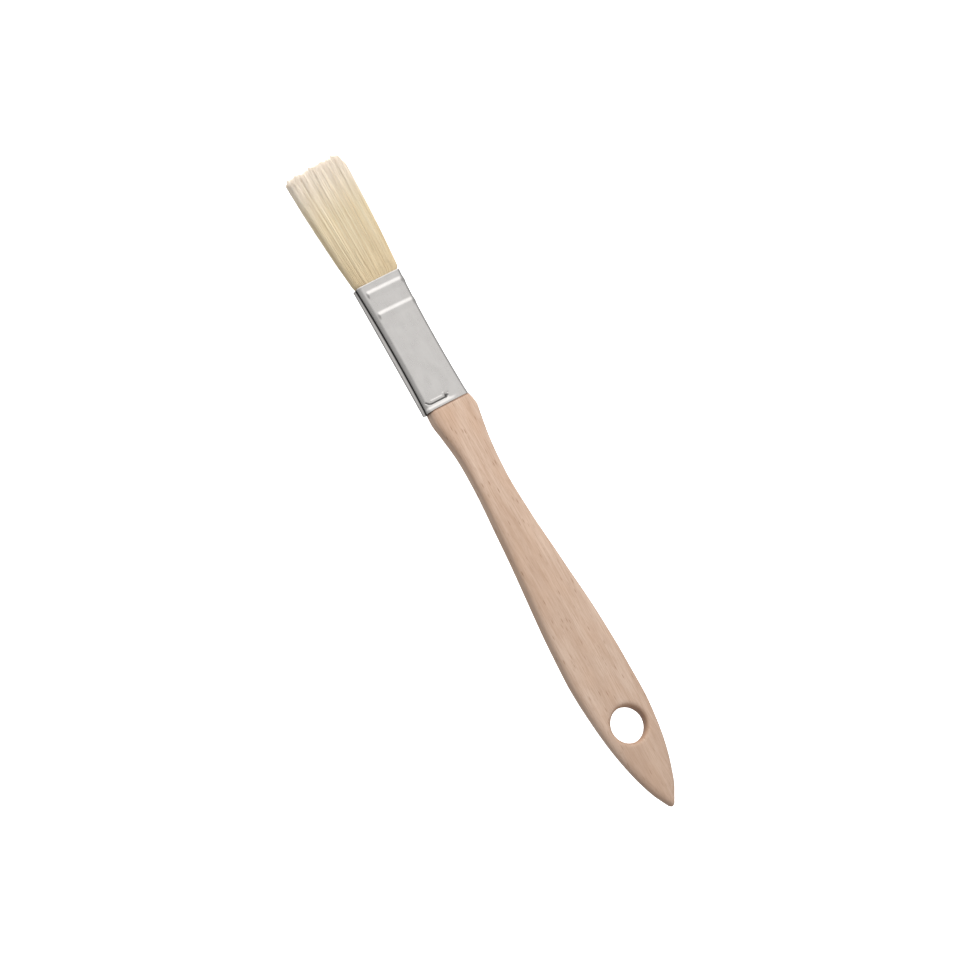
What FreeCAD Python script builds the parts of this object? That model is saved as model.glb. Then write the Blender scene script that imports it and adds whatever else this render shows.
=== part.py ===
import FreeCAD, Part
import math
import os

# A flat wooden pastry brush lying on its back, in millimetres.
# X runs across the brush, Y from the handle's tail to the bristle tips, and Z up out of its front face.
# The origin is under the middle of the brush, on the surface that the brush lies on.
# A "station" is a distance along the brush from the handle's tail.

V = FreeCAD.Vector
ALONG = V(0, 1, 0)
ACROSS = V(1, 0, 0)
UP = V(0, 0, 1)

TOTAL_LENGTH = 235.0
TAIL_Y = -TOTAL_LENGTH / 2

# Handle: beech board, flat on both faces, thinner towards its tail.
HANDLE_THICKNESS = 7.4
MID_Z = HANDLE_THICKNESS / 2
TAIL_THICKNESS = 4.4
TAPER_START = 75.0
EDGE_ROUND = 1.1
SHOULDER_STATION = 147.2
SHOULDER_EDGE_ROUND = 0.4
TIP_RADIUS = 1.15
TIP_SWEEP = math.radians(58)
# The outline as (station, reach to the left, reach to the right): flank, belly, neck and shoulder.
# It is sanded by hand, so the sides differ a little and the neck stands to the right of the ferrule.
OUTLINE = [
    (5.0, 2.95, 3.3), (11.4, 5.5, 6.0), (19.4, 7.6, 8.3), (32.0, 9.5, 10.1), (48.0, 10.4, 10.2),
    (64.0, 9.55, 9.7), (88.0, 7.4, 7.65), (104.0, 6.15, 6.3), (120.0, 5.2, 5.9), (131.0, 5.45, 6.7),
    (139.0, 6.45, 8.0), (143.4, 7.1, 8.65),
]
SHOULDER_REACH = (6.95, 7.9)
SHOULDER_DRAW_IN = 0.2

# Hanging hole.
HOLE_STATION = 29.5
HOLE_RADIUS = 6.0
HOLE_RIM_ROUND = 1.4

# Tenon, inside the ferrule.
TENON_LENGTH = 18.0
FIT_GAP = 0.1

# Ferrule: one wrapped sheet, drawn in a little at its waist.
SHEET = 0.3
FERRULE_LENGTH = 46.2
MOUTH_STATION = SHOULDER_STATION + FERRULE_LENGTH
WAIST_FRACTION = 0.5
END_SIZE = (15.7, 6.5)
WAIST_SIZE = (15.0, 6.4)
MOUTH_SIZE = (16.2, 6.6)
CORNER_RADIUS = 1.4
CROWN_RADIUS = 80.0
LIP_HEIGHT = 1.6
LIP_SWELL = 0.3
BEAD_RADIUS = 0.9
BEAD_PROUD = 0.25
BEAD_HALF_SPAN = 5.2
BEADS_FROM_MOUTH = (3.8, 11.4)
SEAM_PROUD = 0.3
SEAM_ROUND = 0.25
SEAM_LOW = -1.9
SEAM_HIGH = -0.2
SEAM_GROOVE_WIDTH = 0.7
SEAM_GROOVE_DEPTH = 0.15
STAKE_RADIUS = 0.95
STAKE_DEPTH = 0.6
STAKE_X = 0.6
STAKE_FROM_END = 2.7
CREASE_RADIUS = 0.45
CREASE_DEPTH = 0.24
CREASE_START_X = -5.4
CREASE_FROM_END = 2.2

# Bristles, filler strip and resin.
BRISTLE_CLEARANCE = 0.3
RESIN_START = SHOULDER_STATION + TENON_LENGTH + 0.4
RESIN_LENGTH = 10.0
RESIN_FLOOR = 2.0
RESIN_GAP = 0.04
FILLER_THICKNESS = 1.4
FILLER_WIDTH = 11.0
FILLER_LENGTH = 20.0
HINGE_BEYOND_MOUTH = 0.9
FLEX_BASE_RADIUS = 2.6
FREE_BASE_HALF_WIDTH = 7.0
FREE_BASE_LENGTH = 1.0
SPREAD_LENGTH = 2.2
# Reach to the left and to the right, just out of the mouth and at the tips.
SPREAD_REACH = (7.8, 8.3)
TIP_REACH = (10.2, 9.65)
FREE_HALF_THICKNESS_TIP = 3.45
FREE_CORNER_ROUND = 1.0
TIP_ARCH = 1.0

# A length beyond any part of the brush, for trimming blocks.
BIG = 400.0
# How far a shape reaches into the one that it is joined to or cut from.
OVERLAP = 1.0
# Two measures this close count as the same.
CLOSE = 0.1


def y_at(station):
    """Y of a distance from the handle's tail."""
    return TAIL_Y + station


HINGE_Y = y_at(MOUTH_STATION + HINGE_BEYOND_MOUTH)


def slab(y0, y1, z0, z1):
    """A wide block between two Y planes and two Z planes, for trimming."""
    return Part.makeBox(BIG, y1 - y0, z1 - z0, V(-BIG / 2, y0, z0))


def flank_points(side):
    """The outline's points from the tail to the shoulder on the right (side +1) or the left (side -1)."""
    points = []
    for station, left, right in OUTLINE + [(SHOULDER_STATION,) + SHOULDER_REACH]:
        reach = right if side > 0 else left
        points.append(V(side * reach, y_at(station), 0))
    return points


def handle_outline():
    """The handle's closed outline, seen from above."""
    reach = TIP_RADIUS * math.sin(TIP_SWEEP)
    rise = TIP_RADIUS * math.cos(TIP_SWEEP)
    tip_y = TAIL_Y + TIP_RADIUS - rise
    tip = Part.Arc(V(-reach, tip_y, 0), V(0, TAIL_Y, 0), V(reach, tip_y, 0))
    edges = [tip.toShape()]
    for side in (1, -1):
        flank = Part.BSplineCurve()
        flank.interpolate(
            Points=[V(side * reach, tip_y, 0)] + flank_points(side),
            InitialTangent=V(side * math.cos(TIP_SWEEP), math.sin(TIP_SWEEP), 0),
            FinalTangent=V(-side * SHOULDER_DRAW_IN, 1, 0),
        )
        edges.append(flank.toShape())
    edges.append(Part.makeLine(flank_points(1)[-1], flank_points(-1)[-1]))
    return Part.Wire(Part.sortEdges(edges)[0])


def tail_taper():
    """The two wedges that are planed off the handle's faces towards its tail."""
    depth = (HANDLE_THICKNESS - TAIL_THICKNESS) / 2
    start_y = y_at(TAPER_START)
    under = Part.makePolygon([V(0, start_y, 0), V(0, TAIL_Y, depth), V(0, TAIL_Y, 0), V(0, start_y, 0)])
    wedge = Part.Face(under).extrude(ACROSS * BIG)
    wedge.translate(ACROSS * (-BIG / 2))
    top = wedge.mirror(V(0, 0, MID_Z), UP)
    return wedge, top


def rim_edges(solid, centre_y):
    """The two circular edges where the hanging hole meets the handle's faces."""
    rims = []
    for edge in solid.Edges:
        middle = edge.BoundBox.Center
        round_size = abs(edge.BoundBox.XLength - 2 * HOLE_RADIUS) < CLOSE
        on_face = edge.BoundBox.ZLength < HANDLE_THICKNESS / 4
        if round_size and on_face and abs(middle.y - centre_y) < CLOSE:
            rims.append(edge)
    return rims


def make_handle():
    """The beech handle, with its rounded edges, hanging hole, shoulder and tenon."""
    shoulder_y = y_at(SHOULDER_STATION)
    body = Part.Face(handle_outline()).extrude(UP * HANDLE_THICKNESS)
    for wedge in tail_taper():
        body = body.cut(wedge)
    long_edges = []
    for edge in body.Edges:
        box = edge.BoundBox
        upright = box.ZLength > HANDLE_THICKNESS / 2
        across_face = box.YLength < CLOSE
        if not upright and not across_face:
            long_edges.append(edge)
    body = body.makeFillet(EDGE_ROUND, long_edges)
    shoulder_edges = [edge for edge in body.Edges if edge.BoundBox.YMin > shoulder_y - CLOSE]
    body = body.makeChamfer(SHOULDER_EDGE_ROUND, shoulder_edges)
    hole_y = y_at(HOLE_STATION)
    body = body.cut(Part.makeCylinder(HOLE_RADIUS, BIG, V(0, hole_y, -BIG / 2), UP))
    body = body.makeFillet(HOLE_RIM_ROUND, rim_edges(body, hole_y))
    tenon_size = (WAIST_SIZE[0] - 2 * SHEET - 2 * FIT_GAP, WAIST_SIZE[1] - 2 * SHEET - 2 * FIT_GAP)
    tenon_y = shoulder_y - OVERLAP
    tenon = crowned_prism(tenon_size, CORNER_RADIUS - SHEET - FIT_GAP, tenon_y, shoulder_y + TENON_LENGTH)
    tenon = tenon.cut(stake_ball(STAKE_RADIUS + SHEET + FIT_GAP))
    return body.fuse(tenon).removeSplitter()


def crowned_section(size, radius, y):
    """A closed section across the brush: rounded corners, straight sides and gently crowned faces."""
    width, thickness = size
    corner_x = width / 2 - radius
    crown_centre = thickness / 2 - CROWN_RADIUS
    corner_z = crown_centre + math.sqrt((CROWN_RADIUS - radius) ** 2 - corner_x ** 2)
    lean_angle = math.asin(corner_x / (CROWN_RADIUS - radius))
    join_x = CROWN_RADIUS * math.sin(lean_angle)
    join_z = crown_centre + CROWN_RADIUS * math.cos(lean_angle)
    middle = (math.pi / 2 - lean_angle) / 2
    bend_x = corner_x + radius * math.cos(middle)
    bend_z = corner_z + radius * math.sin(middle)

    def at(x, z):
        return V(x, y, MID_Z + z)

    edges = [
        Part.Arc(at(-join_x, join_z), at(0, thickness / 2), at(join_x, join_z)),
        Part.Arc(at(join_x, join_z), at(bend_x, bend_z), at(width / 2, corner_z)),
        Part.LineSegment(at(width / 2, corner_z), at(width / 2, -corner_z)),
        Part.Arc(at(width / 2, -corner_z), at(bend_x, -bend_z), at(join_x, -join_z)),
        Part.Arc(at(join_x, -join_z), at(0, -thickness / 2), at(-join_x, -join_z)),
        Part.Arc(at(-join_x, -join_z), at(-bend_x, -bend_z), at(-width / 2, -corner_z)),
        Part.LineSegment(at(-width / 2, -corner_z), at(-width / 2, corner_z)),
        Part.Arc(at(-width / 2, corner_z), at(-bend_x, bend_z), at(-join_x, join_z)),
    ]
    return Part.Wire([edge.toShape() for edge in edges])


def crowned_prism(size, radius, y0, y1):
    """A straight bar with the crowned section."""
    return Part.Face(crowned_section(size, radius, y0)).extrude(ALONG * (y1 - y0))


def shrunk(size, inset):
    """A section's width and thickness, taken in by an inset all round."""
    return (size[0] - 2 * inset, size[1] - 2 * inset)


def ferrule_form(inset):
    """The ferrule's drawn form: its outside with no inset, or its inside with the sheet's thickness."""
    y0 = y_at(SHOULDER_STATION)
    y1 = y_at(MOUTH_STATION)
    waist_y = y0 + WAIST_FRACTION * (y1 - y0)
    radius = CORNER_RADIUS - inset
    sections = [
        crowned_section(shrunk(END_SIZE, inset), radius, y0),
        crowned_section(shrunk(WAIST_SIZE, inset), radius, waist_y),
        crowned_section(shrunk(MOUTH_SIZE, inset), radius, y1),
    ]
    return Part.makeLoft(sections, True, False)


def ferrule_lip():
    """The turned lip round the ferrule's lower end."""
    y0 = y_at(SHOULDER_STATION)
    swollen = shrunk(END_SIZE, -LIP_SWELL / 2)
    sections = [
        crowned_section(END_SIZE, CORNER_RADIUS, y0),
        crowned_section(swollen, CORNER_RADIUS + LIP_SWELL / 2, y0 + LIP_HEIGHT / 2),
        crowned_section(END_SIZE, CORNER_RADIUS, y0 + LIP_HEIGHT),
    ]
    return Part.makeLoft(sections, True, False)


def capsule(radius, half_span, y, z, x=0.0):
    """A round bar across the brush with ball ends."""
    bar = Part.makeCylinder(radius, 2 * half_span, V(x - half_span, y, z), ACROSS)
    for end in (-half_span, half_span):
        bar = bar.fuse(Part.makeSphere(radius, V(x + end, y, z)))
    return bar


def bead(radius, from_mouth, side):
    """One pressed bead across the front face (side +1) or the back face (side -1)."""
    depth = BEAD_RADIUS - BEAD_PROUD
    z = MID_Z + side * (MOUTH_SIZE[1] / 2 - depth)
    return capsule(radius, BEAD_HALF_SPAN, y_at(MOUTH_STATION - from_mouth), z)


def stake_ball(radius):
    """The round punch mark that drives the sheet into the tenon."""
    z = MID_Z + END_SIZE[1] / 2 + STAKE_RADIUS - STAKE_DEPTH
    return Part.makeSphere(radius, V(STAKE_X, y_at(SHOULDER_STATION + STAKE_FROM_END), z))


def crease():
    """The shallow pressed line that runs from the ferrule's left edge to the punch mark."""
    half_span = (STAKE_X - CREASE_START_X) / 2
    z = MID_Z + END_SIZE[1] / 2 + CREASE_RADIUS - CREASE_DEPTH
    return capsule(
        CREASE_RADIUS, half_span, y_at(SHOULDER_STATION + CREASE_FROM_END), z, (STAKE_X + CREASE_START_X) / 2
    )


def seam():
    """The lapped seam: a strip of the same sheet along the left narrow side."""
    y0 = y_at(SHOULDER_STATION)
    y1 = y_at(MOUTH_STATION)
    outer_x = -MOUTH_SIZE[0] / 2 - SEAM_PROUD
    inner_x = -WAIST_SIZE[0] / 2 + SHEET / 2
    strip = Part.makeBox(inner_x - outer_x, y1 - y0, SEAM_HIGH - SEAM_LOW, V(outer_x, y0, MID_Z + SEAM_LOW))
    outer_edges = [edge for edge in strip.Edges if edge.BoundBox.XMax < outer_x + CLOSE]
    return strip.makeFillet(SEAM_ROUND, outer_edges)


def seam_groove():
    """The shallow gap along the seam's open edge: a strip of the sheet's outer half."""
    y0 = y_at(SHOULDER_STATION) + LIP_HEIGHT
    y1 = y_at(MOUTH_STATION) + OVERLAP
    skin = ferrule_form(0.0).cut(ferrule_form(SEAM_GROOVE_DEPTH))
    return skin.common(Part.makeBox(BIG, y1 - y0, SEAM_GROOVE_WIDTH, V(-BIG, y0, MID_Z + SEAM_HIGH)))


def make_ferrule():
    """The tinplate ferrule: sheet, lip, pressed beads, seam and staking marks."""
    shell = ferrule_form(0.0).fuse(ferrule_lip())
    beads = [(from_mouth, side) for from_mouth in BEADS_FROM_MOUTH for side in (1, -1)]
    for from_mouth, side in beads:
        shell = shell.fuse(bead(BEAD_RADIUS, from_mouth, side))
    shell = shell.cut(seam_groove())
    shell = shell.fuse(seam())
    shell = shell.cut(crease())
    shell = shell.cut(stake_ball(STAKE_RADIUS))
    inside = ferrule_form(SHEET)
    for from_mouth, side in beads:
        inside = inside.fuse(bead(BEAD_RADIUS - SHEET, from_mouth, side))
    inside = inside.cut(stake_ball(STAKE_RADIUS + SHEET))
    return shell.cut(inside).removeSplitter()


def flex_cylinder(radius):
    """A cylinder about the line that the free bristles bend on."""
    return Part.makeCylinder(radius, BIG, V(-BIG / 2, HINGE_Y, MID_Z), ACROSS)


def make_root(side):
    """One bank's roots inside the ferrule, with a hollow top that the free length turns in."""
    gap = FILLER_THICKNESS / 2
    block = crowned_prism(
        shrunk(WAIST_SIZE, SHEET + BRISTLE_CLEARANCE),
        CORNER_RADIUS - SHEET - BRISTLE_CLEARANCE,
        y_at(RESIN_START + RESIN_FLOOR),
        y_at(MOUTH_STATION),
    )
    z0 = MID_Z + gap if side > 0 else MID_Z - BIG
    half = slab(-BIG / 2, BIG / 2, z0, z0 + BIG - gap)
    return block.common(half).cut(flex_cylinder(FLEX_BASE_RADIUS + BRISTLE_CLEARANCE))


def make_filler():
    """The flat strip that parts the two banks."""
    y0 = y_at(RESIN_START + RESIN_FLOOR)
    corner = V(-FILLER_WIDTH / 2, y0, MID_Z - FILLER_THICKNESS / 2)
    return Part.makeBox(FILLER_WIDTH, FILLER_LENGTH, FILLER_THICKNESS, corner)


def make_resin(buried):
    """The resin that fills the ferrule behind and between the roots."""
    y0 = y_at(RESIN_START)
    block = ferrule_form(SHEET + RESIN_GAP).common(slab(y0, y0 + RESIN_LENGTH, -BIG, BIG))
    for piece in buried:
        block = block.cut(piece)
    return block


def free_side_profile():
    """The free bristles from the side: a round base about the flex line, then a slow flare to the tips."""
    tip_y = y_at(TOTAL_LENGTH)
    shoulder_y = tip_y - TIP_ARCH
    half = FREE_HALF_THICKNESS_TIP

    def at(y, z):
        return V(-BIG / 2, y, MID_Z + z)

    edges = [
        Part.Arc(
            at(HINGE_Y, FLEX_BASE_RADIUS), at(HINGE_Y - FLEX_BASE_RADIUS, 0), at(HINGE_Y, -FLEX_BASE_RADIUS)
        ),
        Part.LineSegment(at(HINGE_Y, -FLEX_BASE_RADIUS), at(shoulder_y, -half)),
        Part.Arc(at(shoulder_y, -half), at(tip_y, 0), at(shoulder_y, half)),
        Part.LineSegment(at(shoulder_y, half), at(HINGE_Y, FLEX_BASE_RADIUS)),
    ]
    wire = Part.Wire([edge.toShape() for edge in edges])
    return Part.Face(wire).extrude(ACROSS * BIG)


def free_flank(side):
    """One flank of the free bristles from above: it bends out of its straight base, then runs straight."""
    index = 1 if side > 0 else 0
    start = V(side * FREE_BASE_HALF_WIDTH, HINGE_Y + FREE_BASE_LENGTH, 0)
    spread = V(side * SPREAD_REACH[index], start.y + SPREAD_LENGTH, 0)
    end = V(side * TIP_REACH[index], y_at(TOTAL_LENGTH) - TIP_ARCH, 0)
    outward = (end - spread) * (1 / (end - spread).Length)
    pull = SPREAD_LENGTH / 3
    bend = Part.BezierCurve()
    bend.setPoles([start, start + ALONG * pull, spread - outward * pull, spread])
    return start, [bend, Part.LineSegment(spread, end)], end


def free_plan():
    """The free bristles seen from above, with a slightly arched tip line."""
    base_y = HINGE_Y - FLEX_BASE_RADIUS - OVERLAP
    left_start, left_flank, left_end = free_flank(-1)
    right_start, right_flank, right_end = free_flank(1)
    left_base = V(left_start.x, base_y, 0)
    right_base = V(right_start.x, base_y, 0)
    edges = [
        Part.LineSegment(left_base, left_start),
        *left_flank,
        Part.Arc(left_end, V(0, y_at(TOTAL_LENGTH), 0), right_end),
        *right_flank,
        Part.LineSegment(right_start, right_base),
        Part.LineSegment(right_base, left_base),
    ]
    wire = Part.Wire(Part.sortEdges([edge.toShape() for edge in edges])[0])
    prism = Part.Face(wire).extrude(UP * BIG)
    prism.translate(UP * (-BIG / 2))
    return prism


def make_free_bristles():
    """The two free banks, front first, meeting on the brush's middle plane."""
    whole = free_side_profile().common(free_plan())
    tip_y = y_at(TOTAL_LENGTH) - TIP_ARCH
    long_edges = []
    for edge in whole.Edges:
        box = edge.BoundBox
        on_flank = min(abs(box.XMin), abs(box.XMax)) > FREE_BASE_HALF_WIDTH - CLOSE
        if on_flank and box.YMax < tip_y + 2 * CLOSE:
            long_edges.append(edge)
    whole = whole.makeFillet(FREE_CORNER_ROUND, long_edges)
    front = whole.common(slab(-BIG / 2, BIG / 2, MID_Z, MID_Z + BIG))
    back = whole.common(slab(-BIG / 2, BIG / 2, MID_Z - BIG, MID_Z))
    return front, back


root_front = make_root(1)
root_back = make_root(-1)
filler = make_filler()
free_front, free_back = make_free_bristles()

nodes = {
    "handle": make_handle(),
    "ferrule": make_ferrule(),
    "filler_strip": filler,
    "resin_setting": make_resin([root_front, root_back, filler]),
    "bristle_root_front": root_front,
    "bristle_root_back": root_back,
    "bristles_front": free_front,
    "bristles_back": free_back,
}

os.makedirs("parts", exist_ok=True)
for name, shape in nodes.items():
    solid = shape.Solids[0]
    print(name, "solids", len(shape.Solids), "valid", solid.isValid(), "volume %.1f" % solid.Volume)
    print("    ", solid.BoundBox)
    solid.exportStep("parts/%s.step" % name)
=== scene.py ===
import math

import bmesh
import bpy
import numpy as np
from mathutils import Matrix, Vector


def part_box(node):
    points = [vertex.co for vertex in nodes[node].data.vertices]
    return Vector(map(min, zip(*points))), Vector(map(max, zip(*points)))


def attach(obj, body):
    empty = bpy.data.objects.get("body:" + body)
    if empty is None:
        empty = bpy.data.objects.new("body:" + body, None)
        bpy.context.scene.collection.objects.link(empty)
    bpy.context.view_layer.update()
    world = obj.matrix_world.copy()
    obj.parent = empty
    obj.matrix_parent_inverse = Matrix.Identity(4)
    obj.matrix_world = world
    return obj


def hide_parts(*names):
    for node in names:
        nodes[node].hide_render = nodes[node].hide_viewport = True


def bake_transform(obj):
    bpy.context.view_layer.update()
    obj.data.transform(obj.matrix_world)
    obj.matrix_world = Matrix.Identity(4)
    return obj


# A flat beech pastry brush with a tinplate ferrule and natural bristles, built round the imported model.
# Lengths in this script are in millimetres, and become metres when a mesh is made.

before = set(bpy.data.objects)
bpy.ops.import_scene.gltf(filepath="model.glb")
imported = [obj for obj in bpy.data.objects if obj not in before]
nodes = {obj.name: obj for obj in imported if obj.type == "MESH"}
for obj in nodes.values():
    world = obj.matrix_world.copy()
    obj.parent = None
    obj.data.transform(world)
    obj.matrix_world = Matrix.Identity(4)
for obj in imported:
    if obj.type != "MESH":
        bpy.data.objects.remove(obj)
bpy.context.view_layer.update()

MM = 0.001
HANDLE_BODY = "brush_body"


def box_mm(node):
    """A CAD node's lowest and highest corners, in millimetres."""
    low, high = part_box(node)
    return low / MM, high / MM


HANDLE_LOW, HANDLE_HIGH = box_mm("handle")
MID_Z = (HANDLE_LOW.z + HANDLE_HIGH.z) / 2
FERRULE_LENGTH = 46.2
MOUTH_Y = box_mm("ferrule")[1].y
FERRULE_END_Y = MOUTH_Y - FERRULE_LENGTH
TIP_Y = box_mm("bristles_front")[1].y


# ---------------------------------------------------------------- meshes

def make_piece(name, points, faces, smooth=True):
    """A mesh object from points in millimetres and faces."""
    mesh = bpy.data.meshes.new(name)
    mesh.from_pydata((np.asarray(points) * MM).tolist(), [], np.asarray(faces).tolist())
    mesh.validate()
    if smooth:
        mesh.polygons.foreach_set("use_smooth", [True] * len(mesh.polygons))
    piece = bpy.data.objects.new(name, mesh)
    bpy.context.scene.collection.objects.link(piece)
    return piece


def smooth_step(value, low, high):
    """0 below low, 1 above high and a smooth rise between them."""
    t = np.clip((value - low) / (high - low), 0.0, 1.0)
    return t * t * (3 - 2 * t)


def within(value, rise_start, rise_end, fall_start, fall_end):
    """A smooth rise from 0 to 1 and a smooth fall back to 0."""
    return smooth_step(value, rise_start, rise_end) * (1 - smooth_step(value, fall_start, fall_end))


def raised(distance, half_width):
    """A smooth hump of height 1 that ends at half_width."""
    t = np.clip(np.abs(distance) / half_width, 0.0, 1.0)
    return np.cos(t * math.pi / 2) ** 2


def bell(distance, width):
    """A bell-shaped hump of height 1 that fades out past its width."""
    return np.exp(-(distance / width) ** 2)


def rounded_off(share):
    """How far a quarter round of radius 1 has dropped, from 0 where it starts to 1 at its end."""
    return 1 - np.sqrt(1 - share ** 2)


def polyline_distance(x, y, points):
    """Distance from each (x, y) to a line through the points."""
    best = np.full(np.broadcast(x, y).shape, np.inf)
    for (ax, ay), (bx, by) in zip(points[:-1], points[1:]):
        length2 = (bx - ax) ** 2 + (by - ay) ** 2
        t = np.clip(((x - ax) * (bx - ax) + (y - ay) * (by - ay)) / length2, 0.0, 1.0)
        best = np.minimum(best, np.hypot(x - ax - t * (bx - ax), y - ay - t * (by - ay)))
    return best


# ---------------------------------------------------------------- handle

TAIL_Y = HANDLE_LOW.y
# The outline as (distance from the tail, reach to the left, reach to the right).
OUTLINE = [
    (0.0, 0.1, 0.1), (0.45, 0.65, 0.7), (1.4, 1.2, 1.3), (3.2, 2.2, 2.4), (5.0, 3.15, 3.5),
    (11.4, 5.55, 6.05), (19.4, 7.6, 8.3), (32.0, 9.5, 10.1), (48.0, 10.4, 10.2), (64.0, 9.55, 9.7),
    (88.0, 7.4, 7.65), (104.0, 6.15, 6.3), (120.0, 5.2, 5.9), (131.0, 5.45, 6.7), (139.0, 6.45, 8.0),
    (143.4, 7.1, 8.65), (147.2, 6.95, 7.9),
]
SHOULDER = 147.2
BOARD_HALF = 3.7
TAIL_HALF = 2.2
TAPER_START = 75.0
# The long edges' rounding, and the most of the half width and half thickness that it may take.
EDGE_ACROSS, EDGE_DOWN = 2.3, 1.6
EDGE_MOST_ACROSS, EDGE_MOST_DOWN = 0.95, 0.62
# Roundings as length and drop: the tail's drop is a share of its half thickness.
SHOULDER_ROUND, SHOULDER_DROP = 0.6, 0.55
TAIL_ROUND, TAIL_DROP = 2.2, 0.8
TENON_HALF = (6.8, 2.2)
TENON_LENGTH = 18.0
TENON_ACROSS, TENON_DOWN = 1.0, 0.7
HOLE_AT = 29.5
HOLE_RADIUS = 6.0
RIM_ROUND = 1.4

# The face's grid is square in a region round the hole, and its middle part, the patch, shrinks to the hole.
HOLE_REGION = 13.0
PATCH = 0.5
ROUNDING = 1e-6
PATCH_LINES = 31
OUTER_STEPS = 14
TAIL_LINES = 38
TAIL_CROWDING = 1.5
ROW_STEP = 0.9
SHOULDER_REGION = 4.5
SHOULDER_STEPS = 12
TENON_ROWS = (0.02, 1.0, TENON_LENGTH - 0.5, TENON_LENGTH)
WALL_STEPS = 5

# Hand sanding leaves the face faintly crowned and waved: heights, then lengths along and across.
CROWN = 0.10
EDGE_WAVES = ((0.035, 7.3), (0.02, 2.9))
EDGE_WAVE_START = (4.0, 15.0)
FACE_WAVES = ((0.018, 6.1, 3.7), (0.012, 3.3, 2.9))
# Lowers the face by the waves' full height, so that it stays within the board's thickness.
FACE_WAVE_ROOM = 0.03


def smooth_curve(places, points):
    """Values of a smooth curve through (place, value) points: cubic pieces with averaged slopes."""
    at, value = np.array(points).T
    slope = np.gradient(value, at)
    i = np.clip(np.searchsorted(at, places) - 1, 0, len(at) - 2)
    span = at[i + 1] - at[i]
    t = np.clip((places - at[i]) / span, 0.0, 1.0)
    rise = value[i + 1] - value[i]
    start, end = slope[i] * span, slope[i + 1] * span
    return value[i] + t * (start + t * (3 * rise - 2 * start - end + t * (start + end - 2 * rise)))


def handle_reach(station, side):
    """Half width to one side, with the slight waves that hand sanding leaves."""
    reach = smooth_curve(station, [(row[0], row[1] if side < 0 else row[2]) for row in OUTLINE])
    (high, long), (low, short) = EDGE_WAVES
    wave = high * np.sin(station / long + side) + low * np.sin(station / short + 2 * side)
    reach = reach + wave * smooth_step(station, *EDGE_WAVE_START)
    return np.where(station > SHOULDER, TENON_HALF[0], reach)


def handle_half_thickness(station):
    """Half the board's thickness, less towards the tail."""
    taper = np.clip((TAPER_START - station) / TAPER_START, 0.0, 1.0)
    half = BOARD_HALF - (BOARD_HALF - TAIL_HALF) * taper
    end = np.clip(1 - station / TAIL_ROUND, 0.0, 1.0)
    half = half * (1 - TAIL_DROP * rounded_off(end))
    return np.where(station > SHOULDER, TENON_HALF[1], half)


def eased(count):
    """Places from 0 to 1, close together at both ends."""
    return 0.5 - 0.5 * np.cos(np.linspace(0, math.pi, count + 1))


def handle_grid():
    """The face's grid lines: places across from -1 to 1, and places along as stations."""
    outer = PATCH + (1 - PATCH) * eased(OUTER_STEPS)
    across = np.concatenate([-outer[::-1], np.linspace(-PATCH, PATCH, PATCH_LINES)[1:-1], outer])
    around_hole = HOLE_AT + HOLE_REGION * across
    tail = (HOLE_AT - HOLE_REGION) * np.linspace(0, 1, TAIL_LINES)[:-1] ** TAIL_CROWDING
    front = np.concatenate([
        np.arange(HOLE_AT + HOLE_REGION + ROW_STEP, SHOULDER - SHOULDER_REGION, ROW_STEP),
        SHOULDER - SHOULDER_REGION + SHOULDER_REGION * eased(SHOULDER_STEPS)[1:],
        SHOULDER + np.array(TENON_ROWS),
    ])
    return across, np.concatenate([tail, around_hole, front])


def handle_face():
    """Places of the face's grid over the board, opened out round the hanging hole."""
    across, stations = handle_grid()
    u, station = np.meshgrid(across, stations)
    v = (station - HOLE_AT) / HOLE_REGION
    side = np.sign(u)
    reach_at_hole = np.where(u < 0, handle_reach(HOLE_AT, -1), handle_reach(HOLE_AT, 1))
    ring = np.maximum(np.abs(u), np.abs(v))
    t = np.clip((ring - PATCH) / (1 - PATCH), 0.0, 1.0)
    # Squares round the hole become rings: the innermost lies on the hole's circle.
    wide = np.abs(u) >= np.abs(v)
    turn = np.where(wide, v / np.where(u == 0, 1, u), u / np.where(v == 0, 1, v)) * math.pi / 4
    circle_x = np.where(wide, np.sign(u) * np.cos(turn), np.sign(v) * np.sin(turn))
    circle_y = np.where(wide, np.sign(u) * np.sin(turn), np.sign(v) * np.cos(turn))
    safe_ring = np.maximum(ring, PATCH)
    x = HOLE_RADIUS * circle_x * (1 - t) + u / safe_ring * reach_at_hole * t
    y = HOLE_RADIUS * circle_y * (1 - t) + v / safe_ring * HOLE_REGION * t
    near = ring <= 1.0
    place = np.where(near, HOLE_AT + y, station)
    reach = np.where(side < 0, handle_reach(place, -1), handle_reach(place, 1))
    x = np.where(near, x * (1 + (reach / reach_at_hole - 1) * t), u * reach)
    return x, place, reach, ring


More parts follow.
